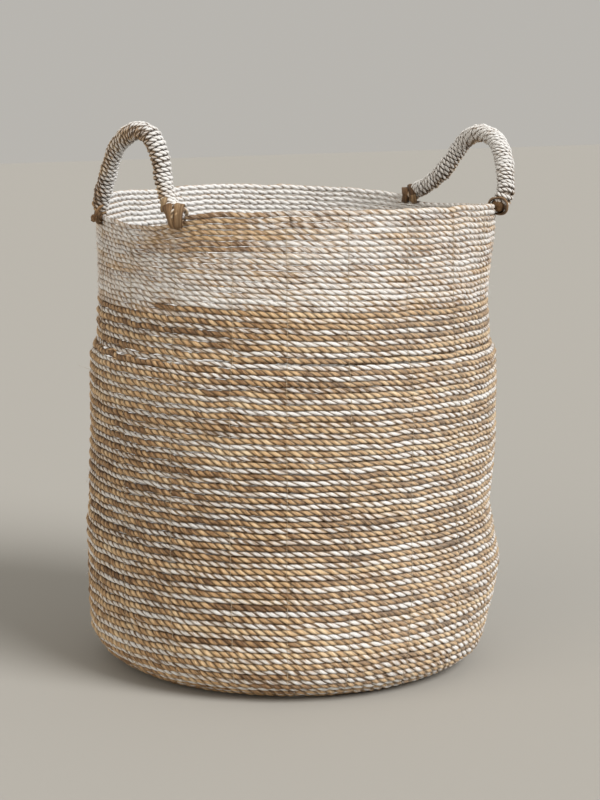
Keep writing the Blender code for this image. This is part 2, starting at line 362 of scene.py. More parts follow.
def wave_field(seed, phi, height, turns, lengths, count=16):
    """Smooth seeded field over the wall, made of waves; about -1 to 1."""
    random = np.random.default_rng(seed)
    total = 0.0
    for _ in range(count):
        around = random.integers(turns[0], turns[1] + 1)
        up = TURN / random.uniform(*lengths) * random.choice((-1.0, 1.0))
        total = total + np.sin(around * phi + up * height + random.uniform(0.0, TURN))
    return total / np.sqrt(2.0 * count)


def angle_from(phi, centre_deg):
    """Signed angle from a direction, between minus and plus half a turn."""
    return (phi - np.radians(centre_deg) + np.pi) % TURN - np.pi


def bump(phi, centre_deg, spread):
    """A smooth hill round one direction."""
    return np.exp(-((angle_from(phi, centre_deg) / spread) ** 2))


def directions(alpha):
    """Outward and sideways directions at a world angle."""
    outward = np.array((np.cos(alpha), np.sin(alpha), 0.0))
    along = np.array((-np.sin(alpha), np.cos(alpha), 0.0))
    return outward, along


def smooth_sag():
    """The rim's height table, evenly spaced and softened."""
    degrees = np.arange(-180.0, 181.0, 1.0)
    angles, lifts = zip(*SAG_TABLE)
    raw = np.interp(degrees, angles, lifts)
    around = np.concatenate((raw[-6:-1], raw, raw[1:6]))
    return degrees, np.convolve(around, np.ones(SAG_SOFTEN) / SAG_SOFTEN, "valid")


def softened(values):
    """Moving average along the wall's outline."""
    half = OUTLINE_SOFTEN // 2
    weights = np.ones(OUTLINE_SOFTEN) / OUTLINE_SOFTEN
    return np.convolve(np.pad(values, half, "edge"), weights, "valid")


def wall_table():
    """Radius, height and outward normal of the wall by distance along its outline."""
    points = np.array(OUTLINE)
    steps = np.hypot(*np.diff(points, axis=0).T)
    along = np.concatenate(([0.0], np.cumsum(steps)))
    corner = int(np.argmin(abs(points[:, 1] - CORNER_HEIGHT)))
    along = along - along[corner] + CORNER_HEIGHT
    along[corner:] = points[corner:, 1]
    grid = np.arange(along[0], along[-1], OUTLINE_STEP)
    sharp_height = np.interp(grid, along, points[:, 1])
    radius = softened(np.interp(grid, along, points[:, 0]))
    height = softened(sharp_height)
    height[-OUTLINE_SOFTEN:] = sharp_height[-OUTLINE_SOFTEN:]
    slope_r, slope_z = np.gradient(radius), np.gradient(height)
    length = np.hypot(slope_r, slope_z)
    return grid, radius, height, slope_z / length, -slope_r / length


SAG_DEGREES, SAG_SMOOTH = smooth_sag()
WALL = wall_table()


def row_height(row):
    """Distance up the outline of a row's centre."""
    body = BROWN_ROW_HEIGHT - PAIR_PITCH * row - PITCH_GROWTH * row * row
    band = BROWN_ROW_HEIGHT - BAND_PAIR_PITCH * row
    return np.where(row > 0.0, body, band)


def rim_sag(height, phi):
    """How far the rim is pulled down or up round the basket, fading out below it."""
    reach = smoothstep((height - SAG_FROM) / SAG_REACH) ** 1.3
    degrees = (np.degrees(phi) + 180.0) % 360.0 - 180.0
    return reach * np.interp(degrees, SAG_DEGREES, SAG_SMOOTH)


def wall_radius(phi, nominal, height, calm):
    """Radius of the wall with its bulges, lumps and the pull of the right handle."""
    radius = np.interp(height, WALL[0], WALL[1])
    radius = radius + np.interp(height, SIDE_HEIGHTS, LEFT_SIDE) * bump(phi, -SIDE_ANGLE, SIDE_SPREAD)
    radius = radius + np.interp(height, SIDE_HEIGHTS, RIGHT_SIDE) * bump(phi, SIDE_ANGLE, SIDE_SPREAD)
    pulled = smoothstep((nominal - 0.37) / 0.09) * bump(phi, HANDLE_PULL_ANGLE, np.radians(23.0))
    radius = radius + HANDLE_PULL * pulled
    lumps = LUMP_SIZE * wave_field(12, phi, nominal, (2, 9), (0.12, 0.4))
    ripples = RIPPLE_SIZE * wave_field(13, phi, nominal, (8, 26), (0.03, 0.12))
    return radius + calm * (lumps + ripples)


def wall_place(phi, row, inset):
    """Centre and outward normal of a rope at an angle and row, and how squeezed it is there."""
    nominal = row_height(row)
    height = nominal + rim_sag(nominal, phi) + np.interp(nominal, TILT_HEIGHTS, TILTS) * np.sin(phi)
    calm = smoothstep((nominal + 0.01) / 0.04)
    height = height + ROW_WANDER * calm * wave_field(11, phi, nominal, (9, 34), (0.05, 0.16))
    squeeze = 1.0 + 0.8 * (rim_sag(nominal + 0.001, phi) - rim_sag(nominal - 0.001, phi)) / 0.002
    radius = wall_radius(phi, nominal, height, calm)
    grid, _, heights, normal_r, normal_z = WALL
    n_r = np.interp(height, grid, normal_r)
    n_z = np.interp(height, grid, normal_z)
    r = radius - inset * n_r
    z = np.interp(height, grid, heights) - inset * n_z
    alpha = phi + FRONT
    centre = np.stack((r * np.cos(alpha), r * np.sin(alpha), z), axis=-1)
    normal = np.stack((n_r * np.cos(alpha), n_r * np.sin(alpha), n_z), axis=-1)
    return centre, normal, squeeze


def rope_tone(seed, along, first_share, second_share):
    """Slow and ply-by-ply changes of colour along a rope."""
    slow = 0.45 * line_noise(seed + 2, along, 0.30) + 0.65 * line_noise(seed + 3, along, 0.06)
    ply = line_noise(seed + 4, along, PLY_TONE_LENGTH)[:, None] * first_share
    ply = ply + line_noise(seed + 5, along, PLY_TONE_LENGTH)[:, None] * second_share
    return 0.7 * slow[:, None] + 0.8 * ply


def rope_surface(centre, normal, radius, twist, squash, seed, lumpy):
    """Rings of a two-ply rope: points, and per-point groove, fibre coordinates and tone."""
    tangent = unit(np.gradient(centre, axis=0))
    normal = unit(normal - np.sum(normal * tangent, axis=1, keepdims=True) * tangent)
    up = np.cross(normal, tangent)
    along = distance_along(centre)
    first = line_noise(seed, along, PLY_BULGE_LENGTH)
    second = line_noise(seed + 1, along, PLY_BULGE_LENGTH)
    lobe = np.cos(RING_ANGLES)
    first_share = np.clip(lobe, 0.0, 1.0)
    second_share = np.clip(-lobe, 0.0, 1.0)
    swell = 1.0 + lumpy * (first[:, None] * first_share + second[:, None] * second_share)
    angle = RING_ANGLES[None, :] + twist[:, None]
    contact = np.abs(np.sin(angle)) ** 6
    shape = RING_SHAPE + np.clip(CONTACT_SHAPE - RING_SHAPE, 0.0, None) * contact
    reach = radius[:, None] * shape * swell
    out = (reach * np.cos(angle))[..., None] * normal[:, None, :]
    side = (reach * squash[:, None] * np.sin(angle))[..., None] * up[:, None, :]
    ring = np.ones_like(angle)
    fibre = np.stack((
        along[:, None] * FIBRE_STRETCH * ring,
        FIBRE_ROUND * np.cos(RING_ANGLES) * ring + SEED_STEP * seed,
        FIBRE_ROUND * np.sin(RING_ANGLES) * ring,
    ), axis=-1)
    return {
        "points": centre[:, None, :] + out + side,
        # Where a rope presses on its neighbours the groove value rises, which paints shade between the
        # rows
        "groove": np.maximum(RING_GROOVE * ring, 0.85 * contact),
        "fibre": fibre,
        "tone": rope_tone(seed, along, first_share, second_share),
        "paint": np.zeros_like(ring),
        "facing": np.cos(angle),
        "along": along,
    }


def tube_surface(centre, radius, sides, seed, stretch=60.0, ring_scale=2.0):
    """Plain round tube along a line, with fibre coordinates."""
    tangent = unit(np.gradient(centre, axis=0))
    sideways = np.cross(tangent, np.broadcast_to(UP, centre.shape))
    weak = np.linalg.norm(sideways, axis=1) < 0.2
    sideways[weak] = np.cross(tangent[weak], np.array((0.6, 0.8, 0.0)))
    sideways = unit(sideways)
    up = np.cross(sideways, tangent)
    angle = TURN * np.arange(sides) / sides
    reach = np.broadcast_to(radius, (len(centre),))[:, None, None]
    across_part = np.cos(angle)[None, :, None] * sideways[:, None, :]
    up_part = np.sin(angle)[None, :, None] * up[:, None, :]
    along = distance_along(centre)
    ring = np.ones((len(centre), sides))
    fibre = np.stack((
        along[:, None] * stretch * ring,
        ring_scale * np.cos(angle) * ring + SEED_STEP * seed,
        ring_scale * np.sin(angle) * ring,
    ), axis=-1)
    return {
        "points": centre[:, None, :] + reach * (across_part + up_part),
        "groove": np.zeros_like(ring),
        "fibre": fibre,
        "tone": line_noise(seed, along, 0.03)[:, None] * ring,
        "paint": ring.copy(),
    }


def ribbon_surface(centre, facing, width, seed):
    """Flat crowned band of grass along a line; facing is where its broad side looks."""
    sides = 16
    tangent = unit(np.gradient(centre, axis=0))
    facing = unit(facing - np.sum(facing * tangent, axis=1, keepdims=True) * tangent)
    across = np.cross(tangent, facing)
    angle = TURN * np.arange(sides) / sides
    side = np.sign(np.cos(angle)) * np.abs(np.cos(angle)) ** 0.8
    crown = 1.0 - 0.75 * side ** 2
    lift = np.sign(np.sin(angle)) * np.abs(np.sin(angle)) ** 0.6
    width = np.broadcast_to(width, (len(centre),))[:, None]
    wave = np.cos(side * 9.0 + 0.4 * seed)
    ridges = 0.00040 * wave
    crowned = lift[None, :] * crown[None, :] + crown[None, :]
    out = 0.5 * BAND_THICKNESS * crowned + ridges * (lift > 0.2)
    along = distance_along(centre)
    ring = np.ones((len(centre), sides))
    fibre = np.stack((
        along[:, None] * 40.0 * ring,
        (9.0 * side + SEED_STEP * seed) * ring,
        (1.5 * lift) * ring,
    ), axis=-1)
    across_part = (0.5 * width * side)[..., None] * across[:, None, :]
    return {
        "points": centre[:, None, :] + across_part + out[..., None] * facing[:, None, :],
        # The groove value rises toward the band's edges and between its ridges, which paints shade
        # there
        "groove": (0.6 * np.abs(side) ** 4 + 0.25 - 0.25 * wave) * ring,
        "fibre": fibre,
        "tone": line_noise(seed, along, 0.03)[:, None] * ring,
        "paint": ring.copy(),
    }


def spline(points, count):
    """Smooth curve through a few points, resampled evenly."""
    points = np.asarray(points, dtype=float)
    ghost = np.concatenate((2.0 * points[:1] - points[1:2], points, 2.0 * points[-1:] - points[-2:-1]))
    t = np.linspace(0.0, len(points) - 1.0001, len(points) * 24)
    index = t.astype(int)
    f = (t - index)[:, None]
    a, b, c, d = (ghost[index + shift] for shift in range(4))
    cubic = 3.0 * (b - c) + d - a
    square = 2.0 * a - 5.0 * b + 4.0 * c - d
    fine = b + 0.5 * f * (c - a + f * (square + f * cubic))
    along = distance_along(fine)
    return read_along(fine, along, np.linspace(0.0, along[-1], count))


def make_material(name, build):
    material = bpy.data.materials.new(name)
    material.use_nodes = True
    tree = material.node_tree
    build(tree, tree.nodes["Principled BSDF"])
    return material


def add_node(tree, kind, **settings):
    node = tree.nodes.new(kind)
    for key, value in settings.items():
        setattr(node, key, value)
    return node


def attribute(tree, name, output="Fac"):
    node = add_node(tree, "ShaderNodeAttribute", attribute_name=name)
    return node.outputs[output]


def fill_socket(tree, socket, value):
    """Links a socket, or sets its number or colour."""
    if isinstance(value, (int, float)):
        socket.default_value = value
    elif isinstance(value, tuple):
        socket.default_value = (*value, 1.0)
    else:
        tree.links.new(value, socket)


def calculate(tree, operation, first, second):
    node = add_node(tree, "ShaderNodeMath", operation=operation)
    fill_socket(tree, node.inputs[0], first)
    fill_socket(tree, node.inputs[1], second)
    return node.outputs[0]


def scaled(tree, value, factor, shift, clamp=False):
    node = add_node(tree, "ShaderNodeMath", operation="MULTIPLY_ADD", use_clamp=clamp)
    for socket, part in zip(node.inputs, (value, factor, shift)):
        fill_socket(tree, socket, part)
    return node.outputs[0]


def noise(tree, vector, scale, detail=3.0, rough=0.6):
    node = add_node(tree, "ShaderNodeTexNoise")
    node.inputs["Scale"].default_value = scale
    node.inputs["Detail"].default_value = detail
    node.inputs["Roughness"].default_value = rough
    tree.links.new(vector, node.inputs["Vector"])
    return node.outputs["Fac"]


def ramp(tree, factor, stops):
    node = add_node(tree, "ShaderNodeValToRGB")
    elements = node.color_ramp.elements
    while len(elements) < len(stops):
        elements.new(0.5)
    for element, (place, colour) in zip(elements, stops):
        element.position = place
        element.color = (*colour, 1.0)
    tree.links.new(factor, node.inputs["Fac"])
    return node.outputs["Color"]


def mix_colour(tree, factor, first, second):
    node = add_node(tree, "ShaderNodeMix", data_type="RGBA", blend_type="MIX")
    node.clamp_factor = True
    for place, value in ((0, factor), (6, first), (7, second)):
        fill_socket(tree, node.inputs[place], value)
    return node.outputs[2]


def fibre_bump(tree, shader, vector, strength, distance):
    coarse = noise(tree, vector, 1.3, 3.0, 0.65)
    fine = noise(tree, vector, 4.5, 2.0, 0.6)
    height = calculate(tree, "ADD", coarse, calculate(tree, "MULTIPLY", fine, 0.5))
    node = add_node(tree, "ShaderNodeBump")
    node.inputs["Strength"].default_value = strength
    node.inputs["Distance"].default_value = distance
    tree.links.new(height, node.inputs["Height"])
    tree.links.new(node.outputs["Normal"], shader.inputs["Normal"])


def grass_colour(tree, vector, stops=BROWN_STOPS):
    """Streaky seagrass colour from dark brown to straw, with painted shade in the grooves."""
    streak = noise(tree, vector, 1.0, 4.0, 0.62)
    tone = calculate(tree, "MULTIPLY", attribute(tree, "tone"), 0.30)
    shade = calculate(tree, "ADD", scaled(tree, streak, 1.5, -0.24), tone)
    colour = ramp(tree, shade, stops)
    # Painted shade: darker where the groove value is high
    groove_shade = calculate(tree, "MULTIPLY", attribute(tree, "groove"), 0.92)
    return mix_colour(tree, groove_shade, colour, GROOVE_SHADE_COLOUR), streak


def build_grass(tree, shader):
    """Natural seagrass, paled toward straw where the paint attribute is high: painted light on the
    right side of the body, and streaks all over the loose fibres.
    """
    vector = attribute(tree, "fibre", "Vector")
    colour, streak = grass_colour(tree, vector)
    pale_streaks = scaled(tree, streak, 1.6, -0.40, clamp=True)
    # On the natural rope the paint attribute holds the share of painted light
    pale_share = calculate(tree, "MULTIPLY", attribute(tree, "paint"), pale_streaks)
    tree.links.new(mix_colour(tree, pale_share, colour, PALE_STRAW_COLOUR), shader.inputs["Base Color"])
    tree.links.new(scaled(tree, streak, -0.25, 0.70), shader.inputs["Roughness"])
    shader.inputs["Specular IOR Level"].default_value = 0.4
    fibre_bump(tree, shader, vector, 0.75, 0.0005)


def build_painted(tree, shader):
    """Chalky white paint on seagrass, rubbed through where the paint attribute is low, and thin in the
    grooves, where the under colour shows with its painted groove shade.
    """
    vector = attribute(tree, "fibre", "Vector")
    under, streak = grass_colour(tree, vector)
    under = mix_colour(tree, 0.12, under, STAIN_COLOUR)
    patch = noise(tree, vector, 0.45, 3.0, 0.6)
    cover = calculate(tree, "ADD", attribute(tree, "paint"), scaled(tree, streak, 1.5, -0.75))
    cover = calculate(tree, "ADD", cover, scaled(tree, patch, 1.0, -0.50))
    # Paint thin in the grooves: partly wear, partly to bare the painted groove shade
    groove_wear_and_shade = calculate(tree, "MULTIPLY", attribute(tree, "groove"), 0.75)
    cover = calculate(tree, "SUBTRACT", cover, groove_wear_and_shade)
    sharp = scaled(tree, cover, 2.0, -0.42, clamp=True)
    paint = ramp(tree, noise(tree, vector, 2.1, 3.0, 0.6), PAINT_STOPS)
    tree.links.new(mix_colour(tree, sharp, under, paint), shader.inputs["Base Color"])
    shader.inputs["Roughness"].default_value = 0.72
    shader.inputs["Specular IOR Level"].default_value = 0.35
    fibre_bump(tree, shader, vector, 0.8, 0.0005)


def build_lashing(tree, shader):
    """Flat strips of darker grass."""
    vector = attribute(tree, "fibre", "Vector")
    colour, _ = grass_colour(tree, vector, LASHING_STOPS)
    tree.links.new(colour, shader.inputs["Base Color"])
    shader.inputs["Roughness"].default_value = 0.62
    shader.inputs["Specular IOR Level"].default_value = 0.35
    fibre_bump(tree, shader, vector, 0.7, 0.0005)


def build_thread(tree, shader):
    """Thin pale twine."""
    vector = attribute(tree, "fibre", "Vector")
    colour = ramp(tree, noise(tree, vector, 0.8, 3.0, 0.6), THREAD_STOPS)
    tree.links.new(colour, shader.inputs["Base Color"])
    shader.inputs["Roughness"].default_value = 0.7
    fibre_bump(tree, shader, vector, 0.4, 0.0002)


GRASS = make_material("seagrass natural", build_grass)
PAINTED = make_material("seagrass whitewashed", build_painted)
LASHING = make_material("seagrass lashing", build_lashing)
THREAD = make_material("stitch thread", build_thread)


def ring_faces(sections, ring, offset):
    """Quads between rings, and a cap polygon at each end."""
    row = np.arange(sections - 1)[:, None] * ring
    step = np.arange(ring)[None, :]
    after = (step + 1) % ring
    quads = np.stack((row + step, row + after, row + ring + after, row + ring + step), axis=-1)
    quads = quads.reshape(-1, 4) + offset
    first = np.arange(ring)[::-1] + offset
    last = np.arange(ring) + (sections - 1) * ring + offset
    return quads, (first, last)


def all_faces(surfaces):
    """Quads and caps of several tubes, numbered one after the other."""
    quads, caps, offset = [], [], 0
    for surface in surfaces:
        sections, ring = surface["points"].shape[:2]
        sides, ends = ring_faces(sections, ring, offset)
        quads.append(sides)
        caps.extend(ends)
        offset += sections * ring
    return np.concatenate(quads), caps


def set_attribute(mesh, surfaces, key, kind, field, width):
    """Writes one value or vector per point from the surfaces to the mesh."""
    values = np.concatenate([surface[key].reshape(-1, width) for surface in surfaces])
    layer = mesh.attributes.new(key, kind, "POINT")
    layer.data.foreach_set(field, values.astype(np.float32).ravel())


def make_piece(name, surfaces, material):
    """One mesh object from one or more tubes, with their attributes."""
    quads, caps = all_faces(surfaces)
    loops = np.concatenate([quads.ravel()] + caps).astype(np.int32)
    sizes = np.concatenate((np.full(len(quads), 4), [len(cap) for cap in caps]))
    starts = np.concatenate(([0], np.cumsum(sizes)[:-1])).astype(np.int32)
    points = np.concatenate([surface["points"].reshape(-1, 3) for surface in surfaces])
    mesh = bpy.data.meshes.new(name)
    mesh.vertices.add(len(points))
    mesh.vertices.foreach_set("co", points.astype(np.float32).ravel())
    mesh.loops.add(len(loops))
    mesh.loops.foreach_set("vertex_index", loops)
    mesh.polygons.add(len(starts))
    mesh.polygons.foreach_set("loop_start", starts)
    mesh.polygons.foreach_set("use_smooth", np.ones(len(starts), dtype=bool))
    mesh.update(calc_edges=True)
    for key in ("groove", "tone", "paint"):
        set_attribute(mesh, surfaces, key, "FLOAT", "value", 1)
    set_attribute(mesh, surfaces, "fibre", "FLOAT_VECTOR", "vector", 3)
    mesh.materials.append(material)
    mesh.validate()
    piece = bpy.data.objects.new(name, mesh)
    bpy.context.scene.collection.objects.link(piece)
    return piece


def finish_piece(piece, slot, *nodes):
    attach(piece, "basket")
    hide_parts(*nodes)


def along_turns(value, turns):
    """A value that is the same all along a rope, or is given by turn count."""
    return value if np.isscalar(value) else np.interp(turns, *value)


def coil_angles(start, end, lay):
    """Turn counts of rope sections, evenly spaced along the coil, and their distances."""
    turns = np.linspace(start, end, int((end - start) * MEASURE_PER_TURN) + 2)
    centre, _, _ = wall_place(turns * TURN, turns, MEASURE_INSET)
    along = distance_along(centre)
    places = np.linspace(0.0, along[-1], int(along[-1] * SECTIONS_PER_LAY / lay))
    return np.interp(places, along, turns), places


def taper(places, length_in, length_out, low=0.25):
    """Share of full size along a rope that narrows at its ends."""
    ends = np.ones_like(places)
    if length_in:
        ends = ends * (low + (1.0 - low) * smoothstep(places / length_in))
    if length_out:
        ends = ends * (low + (1.0 - low) * smoothstep((places[-1] - places) / length_out))
    return ends


def coil_rope(start, end, shift, radius, lay, inset, seed, lumpy, tapers, swing=0.0):
    """A rope coiled round the wall from one turn count to another.

    Radius, lay and inset are numbers or go by turn count. Swing makes the rope that much
    thicker on the right side of the body and thinner on the left.
    """
    shortest_lay = lay if np.isscalar(lay) else min(lay[1])
    turns, places = coil_angles(start, end, shortest_lay)
    phi = turns * TURN
    size = along_turns(radius, turns) * (1.0 + 0.05 * line_noise(seed + 6, places, 0.05))
    size = size * taper(places, *tapers)
    size = size * (1.0 + swing * np.sin(phi) * smoothstep(turns))
    centre, normal, squeeze = wall_place(phi, turns + shift, along_turns(inset, turns))
    own = 0.00025 * line_noise(seed + 7, places, 0.028)
    centre = centre + own[:, None] * normal
    centre[:, 2] += 0.0002 * line_noise(seed + 8, places, 0.022)
    centre[:, 2] = np.maximum(centre[:, 2], size * 0.95)
    stretch = 1.0 + 0.16 * line_noise(seed + 9, places, 0.04)
    steps = TURN * np.diff(places) / (along_turns(lay, turns) * stretch)[1:]
    twist = -np.concatenate(([0.0], np.cumsum(steps)))
    twist = twist + 0.30 * line_noise(seed + 10, places, 0.014)
    full = 0.93 + 0.13 * smoothstep((turns - 16.0) / 12.0)
    surface = rope_surface(centre, normal, size, twist, full * squeeze, seed, lumpy)
    surface["turns"] = turns
    surface["phi"] = phi
    return surface


def cut_surface(surface, low, high):
    """The sections of a rope between two turn counts."""
    first = int(np.searchsorted(surface["turns"], low))
    last = int(np.searchsorted(surface["turns"], high))
    first, last = max(first - 1, 0), min(last + 1, len(surface["turns"]))
    return {key: values[first:last] for key, values in surface.items()}


def paint_band(surface):
    """Coverage of paint on a rope: thicker inside the basket, thin in places outside."""
    phi = surface["phi"]
    outside = smoothstep((surface["facing"] + 0.9) / 0.6)
    height = row_height(surface["turns"])
    left = bump(phi, -46.0, np.radians(34.0)) * smoothstep((height - 0.425) / 0.035)
    top = bump(phi, -22.0, np.radians(15.0)) * smoothstep((height - 0.440) / 0.006)
    streak = bump(phi, -8.0, np.radians(9.0)) * np.exp(-(((height - 0.4545) / 0.003) ** 2))
    lower = smoothstep((0.375 - height) / 0.02)
    thin = 0.06 * left + 0.50 * top + 0.40 * streak - 0.06 * lower
    along = surface["along"]
    slow = 0.12 * line_noise(77, along, 0.25) + 0.16 * line_noise(78, along, 0.03)
    cover = PAINT_COVER + slow[:, None] - thin[:, None] * outside
    surface["paint"] = cover + 0.45 * (1.0 - outside)
    # Weaker groove value on the band rows: lighter painted groove shade there, and less paint kept off
    # the grooves
    soft = 1.0 - 0.36 * smoothstep((height - 0.378) / 0.006)
    surface["groove"] = surface["groove"] * soft[:, None]


def light_right_side(surface):
    """Pale painted light on the natural rope, more of it toward the right, where the key light falls.
    """
    rising = smoothstep((angle_from(surface["phi"], 0.0) + 0.5) / 1.6)
    falling = smoothstep((angle_from(surface["phi"], 180.0) - 0.2) / -0.8)
    lit_side = rising * falling
    surface["paint"] = surface["paint"] + RIGHT_LIGHT_SHARE * lit_side[:, None]


def build_body(brown, white):
    """The striped wall: natural and white rope side by side, in three pieces by height."""
    for name, low, high, nodes in BODY_PIECES:
        piece = make_piece("natural_rope_" + name, [cut_surface(brown, low, high)], GRASS)
        finish_piece(piece, "seagrass_striped", *nodes)
        part = cut_surface(white, max(low, WHITE_BODY_START), high)
        piece = make_piece("white_rope_" + name, [part], PAINTED)
        finish_piece(piece, "seagrass_striped", *nodes)


def build_band(white, second):
    """The white band and the rim: two white ropes side by side."""
    for name, low, high, second_high, node in BAND_PIECES:
        parts = [cut_surface(white, low, high), cut_surface(second, low, second_high)]
        piece = make_piece(name, parts, PAINTED)
        finish_piece(piece, "seagrass_whitewashed", node)


def build_wall():
    """All the rope of the wall, from the rim down to the base."""
    brown = coil_rope(
        BROWN_START - 0.004, LAST_ROW, 0.0, BROWN_SIZES, BROWN_LAY, ROPE_INSET,
        seed=100, lumpy=0.13, tapers=(0.014, 0.02), swing=-0.08,
    )
    white = coil_rope(
        RIM_START_WHITE, LAST_ROW - 0.5, 0.5, WHITE_SIZES, WHITE_LAYS, WHITE_INSETS,
        seed=200, lumpy=0.10, tapers=(0.02, 0.02), swing=0.13,
    )
    second = coil_rope(
        RIM_START_SECOND, BROWN_START + 0.004, 0.0, BAND_RADIUS, BAND_LAY, ROPE_INSET,
        seed=300, lumpy=0.10, tapers=(0.02, 0.012),
    )
    paint_band(white)
    paint_band(second)
    light_right_side(brown)
    build_body(brown, white)
    build_band(white, second)


def build_base():
    """Spiral of natural rope under the basket."""
    turns_total = (BASE_OUTER - BASE_INNER) / BASE_PITCH
    turns = np.linspace(0.0, turns_total, int(turns_total * BASE_STEPS_PER_TURN))
    radius = BASE_OUTER - BASE_PITCH * turns
    alpha = TURN * turns + FRONT
    height = np.full_like(radius, BASE_RADIUS)
    centre = np.stack((radius * np.cos(alpha), radius * np.sin(alpha), height), axis=-1)
    along = distance_along(centre)
    places = np.linspace(0.0, along[-1], int(along[-1] * SECTIONS_PER_LAY / BROWN_LAY))
    centre = read_along(centre, along, places)
    normal = np.tile(-UP, (len(places), 1))
    size = BASE_RADIUS * taper(places, 0.02, 0.004)
    twist = -TURN * places / BROWN_LAY
    squash = np.full_like(size, BASE_SQUASH)
    surface = rope_surface(centre, normal, size, twist, squash, seed=400, lumpy=0.05)
    piece = make_piece("base_rope", [surface], GRASS)
    finish_piece(piece, "seagrass_dark", "base_coil")


def handle_axes(handle):
    """A handle's hinge point, its axis, and its leaning outward and upward directions."""
    outward, along = directions(np.radians(handle.angle))
    lean = np.radians(handle.lean)
    lean_up = UP * np.cos(lean) + outward * np.sin(lean)
    lean_out = outward * np.cos(lean) - UP * np.sin(lean)
    origin = outward * RIM_CIRCLE * np.cos(np.radians(handle.half)) + UP * HINGE_HEIGHT
    return origin, along, lean_out, lean_up


def handle_line(origin, along, line):
    """Points of a handle's centre line, given along the rim, outward and upward."""
    outward = np.cross(along, UP)
    local = spline(line, ARCH_POINTS)
    points = origin + local[:, :1] * along + local[:, 1:2] * outward
    points[:, 2] += local[:, 2]
    return points


def handle_slimness(length, ends):
    """Share of full thickness along a handle that narrows at its feet."""
    (first_length, first_low), (last_length, last_low) = ends
    slim = first_low + (1.0 - first_low) * smoothstep(length / first_length)
    return slim * (last_low + (1.0 - last_low) * smoothstep((length[-1] - length) / last_length))


def cord_paint(radial, travel, handle):
    """Coverage of paint on a cord: thick on the painted side, bare at both ends."""
    toward = radial @ np.array(handle.paint_side)
    slow = 0.14 * line_noise(handle.seed + 25, travel, 0.012)
    bare_start = 1.1 * (1.0 - smoothstep(travel / 0.016))
    bare_end = 0.7 * (1.0 - smoothstep((travel[-1] - travel) / 0.008))
    return np.minimum(0.92 + 0.64 * toward, 1.06) + slow - (bare_start + bare_end)


def wound_cord(arch, length, slim, lean_out, handle):
    """The twisted cord wound round a handle's core."""
    seed = handle.seed
    tangent = unit(np.gradient(arch, axis=0))
    across = unit(lean_out - np.sum(tangent * lean_out, axis=1, keepdims=True) * tangent)
    cord_length = length[-1] / CORD_PITCH * np.hypot(TURN * CORD_REACH, CORD_PITCH)
    travel = np.linspace(0.0, length[-1], int(cord_length * SECTIONS_PER_LAY / CORD_LAY))
    wind = TURN * travel / CORD_PITCH + CORD_JITTER * line_noise(seed + 20, travel, 0.008)
    first = unit(read_along(across, length, travel))
    second = np.cross(unit(read_along(tangent, length, travel)), first)
    radial = np.cos(wind)[:, None] * first + np.sin(wind)[:, None] * second
    reach = CORD_REACH * (1.0 + 0.08 * line_noise(seed + 21, travel, 0.0035))
    reach = reach * (1.0 + 0.05 * line_noise(seed + 24, travel, 0.03))
    reach = reach * np.interp(travel, length, slim)
    centre = read_along(arch, length, travel) + reach[:, None] * radial
    places = distance_along(centre)
    size = CORD_RADIUS * (1.0 + 0.07 * line_noise(seed + 22, places, 0.02))
    size = size * taper(places, 0.01, 0.01)
    stretch = 1.0 + 0.10 * line_noise(seed + 23, places, 0.04)
    steps = np.concatenate(([0.0], TURN * np.diff(places))) / (CORD_LAY * stretch)
    cord = rope_surface(centre, radial, size, -np.cumsum(steps), np.ones_like(size), seed + 30, 0.16)
    paint = cord_paint(radial, travel, handle)
    cord["paint"] = np.broadcast_to(paint[:, None], cord["tone"].shape).copy()
    # Stronger groove value on the cord: deeper painted shade in its grooves and where the wraps touch,
    # and less paint there
    cord["groove"] = 1.25 * cord["groove"]
    return cord


def build_handle(handle):
    """Core and wound cord of a handle; its feet bend between the rim and the arch."""
    origin, along, lean_out, lean_up = handle_axes(handle)
    arch = handle_line(origin, along, handle.line)
    length = distance_along(arch)
    slim = handle_slimness(length, handle.ends)
    core = tube_surface(arch, CORE_RADIUS * slim, 12, handle.seed, 40.0, 3.0)
    # Raised groove value: painted shade on the core where it shows between the wraps, and paint kept
    # off it; the lower tone is its darker fibre
    core["groove"] = core["groove"] + 0.8
    core["tone"] = core["tone"] - 0.6
    cord = wound_cord(arch, length, slim, lean_out, handle)
    side = handle.side
    piece = make_piece(side + "_handle_rope", [core, cord], PAINTED)
    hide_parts(side + "_handle_core", side + "_handle_wrap")
    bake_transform(piece)


def rounded(wave):
    """A sine or cosine swelled towards a rounded rectangle."""
    return np.sign(wave) * np.abs(wave) ** 0.75


def band_yaw(band):
    """How far a band turns sideways, as the wall turns away from the front."""
    return np.clip(-np.tan(np.radians(band.angle)), -1.0, 1.0)


def foot_band(band, seed):
    """One band wrapped tightly over the rim and the end of a handle."""
    turn = np.linspace(-np.pi, np.pi, 61)
    across, upward = rounded(np.cos(turn)), rounded(np.sin(turn))
    middle_r = 0.5 * (band.outer + band.inner)
    middle_z = 0.5 * (band.high + band.low)
    r = middle_r + 0.5 * (band.outer - band.inner) * across
    z = middle_z + 0.5 * (band.high - band.low) * upward
    yaw = band_yaw(band) * (r - middle_r) / r
    alpha = np.radians(band.angle) + FRONT + yaw + band.slant * (z - middle_z) / r
    centre = np.stack((r * np.cos(alpha), r * np.sin(alpha), z), axis=-1)
    normal = np.stack((across * np.cos(alpha), across * np.sin(alpha), upward), axis=-1)
    share = (z - band.low) / (band.high - band.low)
    width = band.lower_width + (band.upper_width - band.lower_width) * share
    return ribbon_surface(centre, normal, width, seed)


